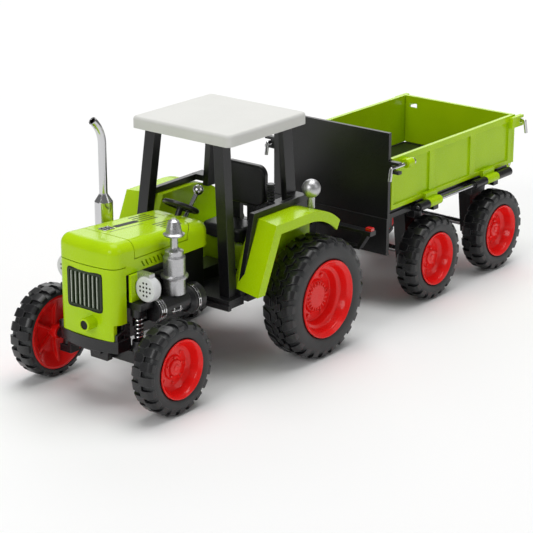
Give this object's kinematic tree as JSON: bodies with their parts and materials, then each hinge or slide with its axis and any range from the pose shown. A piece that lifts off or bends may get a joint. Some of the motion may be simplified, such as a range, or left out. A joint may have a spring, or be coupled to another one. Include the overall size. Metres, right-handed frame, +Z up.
{
  "type": "toy tractor",
  "caption": "Toy farm tractor with cab, rocking steered front axle, lifting hood lid and a hitched four-wheel drop-side trailer.",
  "frame": {"origin": "bottom centre of the whole object's box, on the floor", "axes": "the tractor faces -Y with the trailer behind it towards +Y, +X is the tractor's left, +Z is up"},
  "size_m": [0.1426, 0.4262, 0.168],
  "materials": {
    "green": "moulded plastic, high gloss",
    "black": "moulded plastic, fine satin grain",
    "roof_white": "moulded plastic, soft gloss",
    "red": "moulded plastic, high gloss",
    "tyre": "soft rubber, smooth side walls",
    "chrome": "plated, polished",
    "silver": "metallised, satin",
    "steel": "bright drawn wire and rod",
    "lamp_white": "moulded plastic, soft gloss",
    "grille_dark": "dark insert with satin bars",
    "lens_red": "clear red, glossy"
  },
  "bodies": {
    "tractor": {"chassis_frame": "black", "engine_block": "black", "rear_axle_housing": "black", "nose_cowl": "green", "grille": "grille_dark", "front_bumper": "black", "hood": "green", "pivot_pins": "steel", "headlamps": "lamp_white", "lamp_brackets": "silver", "air_cleaner": "black", "air_cleaner_bands": "chrome", "precleaner_stack": "silver", "exhaust": "chrome", "front_springs": "steel", "cab_floor": "black", "cab_pillars": "black", "seat_pedestal": "green", "side_rails": "black", "roof": "roof_white", "seat": "black", "lever_gaiter": "black", "dash_console": "black", "fender_left": "green", "fender_right": "green", "work_lamp": "chrome", "rear_lamp_bar": "black", "tail_lamps": "lens_red"},
    "lid": {"hood_lid": "green"},
    "steering_wheel_body": {"steering_wheel": "black"},
    "gear_lever_body": {"gear_lever": "chrome"},
    "front_axle": {"front_axle_beam": "black"},
    "knuckle_left": {"steering_knuckle_left": "black"},
    "knuckle_right": {"steering_knuckle_right": "black"},
    "tie_rod_body": {"tie_rod": "black"},
    "front_wheel_left": {"front_rim_left": "red", "front_tyre_left": "tyre"},
    "front_wheel_right": {"front_rim_right": "red", "front_tyre_right": "tyre"},
    "rear_wheels": {"rear_axle_shaft": "steel", "rear_rims": "red", "rear_tyres": "tyre"},
    "hitch_pin_body": {"hitch_pin": "steel"},
    "trailer": {"trailer_frame": "black", "trailer_bed": "black", "headboard": "black", "board_hinge_rods": "steel"},
    "drop_side_left": {"side_board_left": "green"},
    "drop_side_right": {"side_board_right": "green"},
    "tail_board": {"tailgate": "green"},
    "latch_front_left": {"front_latch_left": "chrome"},
    "latch_front_right": {"front_latch_right": "chrome"},
    "latch_rear_left": {"rear_latch_left": "chrome"},
    "latch_rear_right": {"rear_latch_right": "chrome"},
    "trailer_front_wheels": {"trailer_front_shaft": "steel", "trailer_front_rims": "red", "trailer_front_tyres": "tyre"},
    "trailer_rear_wheels": {"trailer_rear_shaft": "steel", "trailer_rear_rims": "red", "trailer_rear_tyres": "tyre"}
  },
  "joints": [
    {"name": "front_axle_rock", "type": "hinge", "parent": "tractor", "child": "front_axle", "pos_m": [0, -0.1831, 0.032], "axis": [0, 1, 0], "range_deg": [-3, 3], "stiffness_Nm_per_rad": 1, "deforming": ["front_springs"]},
    {"name": "steer_left", "type": "hinge", "parent": "front_axle", "child": "knuckle_left", "pos_m": [0.0365, -0.1831, 0.03], "axis": [0, 0, 1], "range_deg": [-10, 10]},
    {"name": "steer_right", "type": "hinge", "parent": "front_axle", "child": "knuckle_right", "pos_m": [-0.0365, -0.1831, 0.03], "axis": [0, 0, 1], "range_deg": [-10, 10]},
    {"name": "tie_rod_slide", "type": "slide", "parent": "front_axle", "child": "tie_rod_body", "axis": [1, 0, 0], "range_m": [-0.0026, 0.0026]},
    {"name": "steering_wheel_turn", "type": "hinge", "parent": "tractor", "child": "steering_wheel_body", "pos_m": [0, -0.114, 0.106], "axis": [0, 0.5, 0.866], "range_deg": [-42, 42]},
    {"name": "front_wheel_left_spin", "type": "hinge", "parent": "knuckle_left", "child": "front_wheel_left", "pos_m": [0.05, -0.1831, 0.03], "axis": [1, 0, 0], "continuous": true},
    {"name": "front_wheel_right_spin", "type": "hinge", "parent": "knuckle_right", "child": "front_wheel_right", "pos_m": [-0.05, -0.1831, 0.03], "axis": [1, 0, 0], "continuous": true},
    {"name": "rear_wheels_spin", "type": "hinge", "parent": "tractor", "child": "rear_wheels", "pos_m": [0, -0.0497, 0.0406], "axis": [1, 0, 0], "continuous": true},
    {"name": "lid_lift", "type": "hinge", "parent": "tractor", "child": "lid", "pos_m": [0, -0.1229, 0.1004], "axis": [-1, 0, 0], "range_deg": [0, 50]},
    {"name": "gear_lever_shift", "type": "hinge", "parent": "tractor", "child": "gear_lever_body", "pos_m": [-0.006, -0.1135, 0.0828], "axis": [1, 0, 0], "range_deg": [-8, 4]},
    {"name": "hitch_pin_lift", "type": "slide", "parent": "tractor", "child": "hitch_pin_body", "axis": [0, 0, 1], "range_m": [0, 0.014]},
    {"name": "trailer_yaw", "type": "hinge", "parent": "tractor", "child": "trailer", "pos_m": [0, 0.0023, 0.0387], "axis": [0, 0, 1], "range_deg": [-25, 25]},
    {"name": "trailer_front_wheels_spin", "type": "hinge", "parent": "trailer", "child": "trailer_front_wheels", "pos_m": [0, 0.0902, 0.03], "axis": [1, 0, 0], "continuous": true},
    {"name": "trailer_rear_wheels_spin", "type": "hinge", "parent": "trailer", "child": "trailer_rear_wheels", "pos_m": [0, 0.1736, 0.03], "axis": [1, 0, 0], "continuous": true},
    {"name": "side_left_drop", "type": "hinge", "parent": "trailer", "child": "drop_side_left", "pos_m": [0.0546, 0.1303, 0.0704], "axis": [0, 1, 0], "range_deg": [0, 110]},
    {"name": "side_right_drop", "type": "hinge", "parent": "trailer", "child": "drop_side_right", "pos_m": [-0.0546, 0.1303, 0.0704], "axis": [0, -1, 0], "range_deg": [0, 110]},
    {"name": "tail_board_drop", "type": "hinge", "parent": "trailer", "child": "tail_board", "pos_m": [0, 0.2097, 0.0704], "axis": [-1, 0, 0], "range_deg": [0, 110]},
    {"name": "latch_front_left_turn", "type": "hinge", "parent": "drop_side_left", "child": "latch_front_left", "pos_m": [0.0542, 0.0623, 0.1056], "axis": [0, -1, 0], "range_deg": [0, 150]},
    {"name": "latch_front_right_turn", "type": "hinge", "parent": "drop_side_right", "child": "latch_front_right", "pos_m": [-0.0542, 0.0623, 0.1056], "axis": [0, 1, 0], "range_deg": [0, 150]},
    {"name": "latch_rear_left_turn", "type": "hinge", "parent": "tail_board", "child": "latch_rear_left", "pos_m": [0.0465, 0.2101, 0.1056], "axis": [1, 0, 0], "range_deg": [0, 120]},
    {"name": "latch_rear_right_turn", "type": "hinge", "parent": "tail_board", "child": "latch_rear_right", "pos_m": [-0.0465, 0.2101, 0.1056], "axis": [1, 0, 0], "range_deg": [0, 120]}
  ],
  "couplings": [
    {"joint": "steer_right", "follows": "steer_left", "ratio": 1},
    {"joint": "tie_rod_slide", "follows": "steer_left", "m_per_rad": -0.014},
    {"joint": "steering_wheel_turn", "follows": "steer_left", "ratio": 4}
  ]
}
